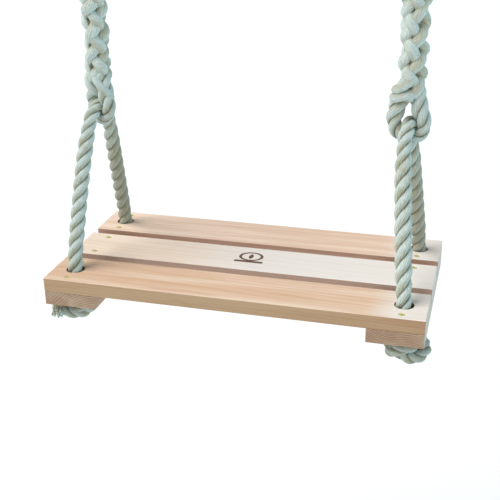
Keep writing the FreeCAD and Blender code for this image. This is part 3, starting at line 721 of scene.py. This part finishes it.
def bridle_girth(side, sign, place):
    """Thicker where it hangs free, thinner in the lower eye and in the knots."""
    free = ROPE + LEG_SWELL[side] * soften(place.z, BOARD_TOP + 0.022, BOARD_TOP + 0.052)
    pulled = soften((place - Vector((sign * HANGER_X, 0, LOCK))).length, 0.055, 0.032)
    knotted = soften(place.z, BOARD_BOTTOM - 0.020, BOARD_BOTTOM - 0.033)
    return free - (free - SQUEEZED) * pulled - KNOT_SQUEEZE * knotted


def bridle(side, sign):
    """One rope: a knot, up the front leg, over the lower eye, down the back leg, a knot."""
    front, back = (bridle_half(side, sign, end, far) for end, far in ENDS)
    points = front + back[::-1]
    line = evenly(smooth_line(points), ROUTE_STEP)
    bm = bmesh.new()
    laid_rope(bm, line, [bridle_girth(side, sign, place) for place in line], start=0.6)
    knots = [f"stopper_knot_{end}_{side}" for end, _ in ENDS]
    made = rope_piece(f"bridle_rope_with_knots_{side}", bm, "seat", [f"bridle_rope_{side}", *knots])
    bm = bmesh.new()
    frayed_end(bm, line[0], line[0] - line[4], seed=3 + sign)
    frayed_end(bm, line[-1], line[-1] - line[-5], seed=9 + sign)
    ends = rope_piece(f"frayed_ends_{side}", bm, "seat", knots, finish="loose_yarn")
    line_length(line)


def eye(name, sign, shape, height, body, node, girth_at, start, worked):
    """A rope's end turned back on itself, from the splice round to the splice again. Worked, the piece that
    its strands are worked into, is not used."""
    turned, first, second = shape
    swivel = Matrix.Rotation(math.radians(turned), 3, "Z")
    end = Vector((sign * HANGER_X, 0, height))
    points = [end + swivel @ Vector((x, 0, z)) for x, z in (*first, *second)]
    line = evenly(smooth_line(points), ROUTE_STEP)
    bm = bmesh.new()
    laid_rope(bm, line, [girth_at(place) for place in line], start)
    made = rope_piece(name, bm, body, [node])
    line_length(line)


def upper_eye_girth(_):
    """Full all round, as a thimble keeps it open."""
    return ROPE


def lower_eye_girth(place):
    """Squeezed at its round end, and fuller where its legs come together under the splice."""
    squeezed = ROPE - (ROPE - SQUEEZED) * soften(place.z, LOCK + 0.040, LOCK + 0.018)
    return squeezed + 0.003 * soften(place.z, LOCK + 0.022, LOCK + 0.042)


SPLICE_TOP = -0.170
SPLICE_FOOT = {"left": -0.330, "right": -0.333}
# The splice's girth here only sets how far the painted valley shade reaches between its strands.
SPLICE_GIRTH = 0.0352
SPLICE_ROWS = 62
BRAID_TURN = 0.108  # the height in which a strand goes once round
BRAID_START = {"left": (0.010, 1.15), "right": (0.022, 0.30)}  # how far on the pattern starts, and its angle
BRAID_OFF, BRAID_OFF_AT_ENDS = 0.0098, 0.0060  # from the splice's axis to a strand's
BRAID_WAVE = 0.0040  # how far a strand moves in and out as it goes under and over
BRAID_WANDER, BRAID_SWELL = 0.55, 0.0022  # at most, how far it strays round the splice, in radians, and out
FULL_STRAND, THIN_STRAND = 0.0084, 0.0056  # its radius along the splice and at its ends
TUCKED_STRAND = 0.0062  # the radius of one that is tucked round the lower eye
# The tucks' girth here only sets how far their painted valley shade reaches.
TUCK_GIRTH = 0.034
LEG_OFF = 0.012  # from the splice's axis to the eye's leg that the strands are tucked round

# The strands tucked round each lower eye's legs where the splice begins. Each place is toward the swing's
# middle, back and up from the splice's foot.
TUCKS = {
    "left": (
        (
            (-0.0050, 0.0150, 0.0230),
            (-0.0143, 0.0162, 0.0160),
            (-0.0202, 0.0094, 0.0100),
            (-0.0208, 0.0010, 0.0030),
            (-0.0164, -0.0051, -0.0050),
            (-0.0092, -0.0056, -0.0120),
            (-0.0035, 0.0000, -0.0180),
            (-0.0012, 0.0064, -0.0210),
        ),
        (
            (-0.0080, -0.0010, 0.0230),
            (-0.0044, -0.0093, 0.0140),
            (0.0020, -0.0166, 0.0050),
            (0.0115, -0.0180, -0.0060),
            (0.0185, -0.0145, -0.0140),
            (0.0210, -0.0080, -0.0200),
            (0.0170, 0.0005, -0.0240),
            (0.0100, 0.0030, -0.0260),
        ),
    ),
    "right": (
        (
            (-0.0060, 0.0020, 0.0190),
            (-0.0040, -0.0110, 0.0165),
            (0.0070, -0.0185, 0.0120),
            (0.0190, -0.0165, 0.0075),
            (0.0265, -0.0050, 0.0045),
            (0.0255, 0.0090, 0.0045),
            (0.0140, 0.0140, 0.0070),
            (0.0020, 0.0090, 0.0110),
        ),
        (
            (-0.0040, 0.0020, 0.0350),
            (-0.0010, -0.0115, 0.0330),
            (0.0080, -0.0185, 0.0270),
            (0.0175, -0.0170, 0.0205),
            (0.0235, -0.0060, 0.0165),
            (0.0230, 0.0070, 0.0160),
            (0.0130, 0.0120, 0.0180),
            (0.0020, 0.0080, 0.0220),
        ),
    ),
}


def splice_strand(spine, side, sign, way, strand):
    """The centres and radii of one strand that goes round the spine one way, over and under the others."""
    ahead, turned = BRAID_START[side]
    foot = SPLICE_FOOT[side]
    centres, radii = [], []
    for middle in spine:
        drop = SPLICE_TOP - middle.z
        worked = 2 * math.pi * (drop + ahead) / BRAID_TURN
        uneven = noise.noise(Vector((strand * 7.3 + way * 3.1 + sign * 5.7, drop * 38, 0.5)))
        swell = noise.noise(Vector((strand * 2.9 + way * 8.3 + sign * 1.7, drop * 60, 4.5)))
        angle = way * worked + 2 * math.pi * strand / STRANDS + turned + BRAID_WANDER * uneven
        full = min(soften(drop, 0, 0.018), soften(middle.z - foot, 0, 0.014))
        off = BRAID_OFF + way * BRAID_WAVE * math.cos(STRANDS * worked) + BRAID_SWELL * swell
        off = BRAID_OFF_AT_ENDS + (off - BRAID_OFF_AT_ENDS) * full
        centres.append(middle + Vector((math.cos(angle), math.sin(angle), 0)) * off)
        radii.append((THIN_STRAND + (FULL_STRAND - THIN_STRAND) * full) * (1 + 0.18 * uneven))
    return centres, rounded_ends(radii)


def splice(side, sign):
    """Six strands worked over and under each other, three each way."""
    tall = SPLICE_TOP - SPLICE_FOOT[side]
    heights = [SPLICE_TOP - tall * row / SPLICE_ROWS for row in range(SPLICE_ROWS + 1)]
    spine = [Vector((sign * HANGER_X, 0, height)) for height in heights]
    bm = bmesh.new()
    for way in (1, -1):
        for strand in range(STRANDS):
            centres, radii = splice_strand(spine, side, sign, way, strand)
            strand_skin(bm, centres, spine, radii, [SPLICE_GIRTH] * len(spine))
    return rope_piece(f"splice_{side}", bm, f"rope_{side}", [f"hanging_rope_{side}"])


def tucks(side, sign):
    """The strands that hold the splice's foot to the lower eye's legs."""
    bm = bmesh.new()
    foot = Vector((sign * HANGER_X, 0, SPLICE_FOOT[side]))
    for tuck in TUCKS[side]:
        centres = evenly(smooth_line([foot + Vector((-sign * x, y, z)) for x, y, z in tuck]), 0.003)
        count = len(centres)
        leg = [Vector((foot.x - sign * LEG_OFF, 0, place.z)) for place in centres]
        strand_skin(bm, centres, leg, rounded_ends([TUCKED_STRAND] * count), [TUCK_GIRTH] * count)
    return rope_piece(f"tucked_strands_{side}", bm, f"eye_{side}", [f"lower_eye_{side}"])


# ---------------------------------------------------------------- finishes of each piece

# The CAD nodes that each rope hangs from, and their finishes.
HANGER_NODES = (
    ("hanger_bracket", "galvanised"),
    ("pivot_bolt", "zinc"),
    ("pivot_nut", "zinc"),
    ("pivot_bushes", "nylon"),
    ("pendulum_link", "galvanised"),
    ("shackle", "galvanised"),
    ("shackle_pin", "zinc"),
    ("thimble", "galvanised"),
)

# The colours of each kind of timber: its pale wood, its tan wood, its late wood and its flecks.
FRONT_WOOD = ((0.82, 0.635, 0.49), (0.70, 0.46, 0.315), (0.57, 0.31, 0.165), (0.58, 0.33, 0.18))
MIDDLE_WOOD = ((0.91, 0.765, 0.65), (0.86, 0.695, 0.565), (0.72, 0.52, 0.40), (0.74, 0.56, 0.44))
BACK_WOOD = ((0.93, 0.74, 0.60), (0.79, 0.57, 0.435), (0.66, 0.40, 0.28), (0.68, 0.44, 0.33))
# The cleats' colours are darkened with painted shade, as they hang in shade under the seat; their rings are
# their own.
SHADED_CLEAT_WOOD = ((0.445, 0.345, 0.245), (0.375, 0.27, 0.18), (0.30, 0.125, 0.075), (0.34, 0.18, 0.115))
# These edge colours are painted shade: tan on the front board's sides, mauve in the gaps and at the back.
TAN_EDGE_SHADE, MAUVE_EDGE_SHADE = (0.575, 0.50, 0.39), (0.62, 0.52, 0.50)

# Each wooden piece's timber, in the words of wood_finish and board_faces. Along is its grain's axis.
WOODS = {
    "front_board": {
        "along": "X",
        "heart": (-0.16, -0.72),
        "ring": 0.0052,
        "lean": 0.012,
        "seed": 1.0,
        "tones": FRONT_WOOD,
        "paler_from": (0.215, 0.285),
        "edge_shade": TAN_EDGE_SHADE,
    },
    "middle_board": {
        "along": "X",
        "heart": (0.03, -0.69),
        "ring": 0.0047,
        "lean": -0.010,
        "seed": 2.0,
        "tones": MIDDLE_WOOD,
        "paler_from": (-0.17, 0.03),
        "edge_shade": MAUVE_EDGE_SHADE,
        "marked": True,
    },
    "back_board": {
        "along": "X",
        "heart": (0.20, -0.74),
        "ring": 0.0055,
        "lean": 0.008,
        "seed": 3.0,
        "tones": BACK_WOOD,
        "paler_from": (0.19, 0.28),
        "edge_shade": MAUVE_EDGE_SHADE,
    },
    "left_cleat": {
        "along": "Y",
        "heart": (-0.175, -0.77),
        "ring": 0.0042,
        "lean": 0.006,
        "seed": 4.0,
        "tones": SHADED_CLEAT_WOOD,
        "ringed": 0.7,
    },
    "right_cleat": {
        "along": "Y",
        "heart": (0.276, -0.712),
        "ring": 0.0036,
        "lean": -0.006,
        "seed": 5.0,
        "tones": SHADED_CLEAT_WOOD,
        "ringed": 0.8,
    },
}


def make_finishes():
    made = {
        "rope": rope_finish("cotton_rope", (0.62, 0.685, 0.65), (0.20, 0.175, 0.10), (0.465, 0.425, 0.28)),
        "loose_yarn": yarn_finish("loose_cotton_yarn"),
        "screws": steel_finish(
            "yellow_zinc_screws", (0.98, 0.90, 0.45), (0.86, 0.80, 0.42), roughness=0.34, metallic=0.8
        ),
        "zinc": steel_finish("zinc_plate", (0.62, 0.63, 0.64), (0.50, 0.51, 0.52), roughness=0.30),
        "galvanised": steel_finish(
            "galvanised_steel", (0.52, 0.54, 0.55), (0.42, 0.44, 0.45), roughness=0.42, spangle=0.5
        ),
        "nylon": nylon_finish("natural_nylon"),
    }
    for piece, facts in WOODS.items():
        made[piece] = wood_finish(f"{piece}_wood", **facts)
    return made


def dress(node, finish):
    """Gives a CAD node's mesh its finish."""
    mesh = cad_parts[node].data
    mesh.materials.clear()
    mesh.materials.append(FINISHES[finish])


# ---------------------------------------------------------------- all of it together

add_camera()
add_light()
FINISHES = make_finishes()
add_floor()
for side, sign in SIDES:
    bridle(side, sign)
    eye(
        f"lower_eye_rope_{side}",
        sign,
        LOWER_EYES[side],
        height=LOCK,
        body=f"eye_{side}",
        node=f"lower_eye_{side}",
        girth_at=lower_eye_girth,
        start=0.2,
        worked=tucks(side, sign),
    )
    eye(
        f"upper_eye_rope_{side}",
        sign,
        UPPER_EYE,
        height=UPPER_EYE_TOP,
        body=f"rope_{side}",
        node=f"hanging_rope_{side}",
        girth_at=upper_eye_girth,
        start=1.1,
        worked=splice(side, sign),
    )
    for node, finish in HANGER_NODES:
        dress(f"{node}_{side}", finish)
    dress(f"seat_cleat_{side}", f"{side}_cleat")
for row in ("front", "middle", "back"):
    dress(f"seat_board_{row}", f"{row}_board")
dress("seat_screws", "screws")
dress("pivot_washers", "zinc")
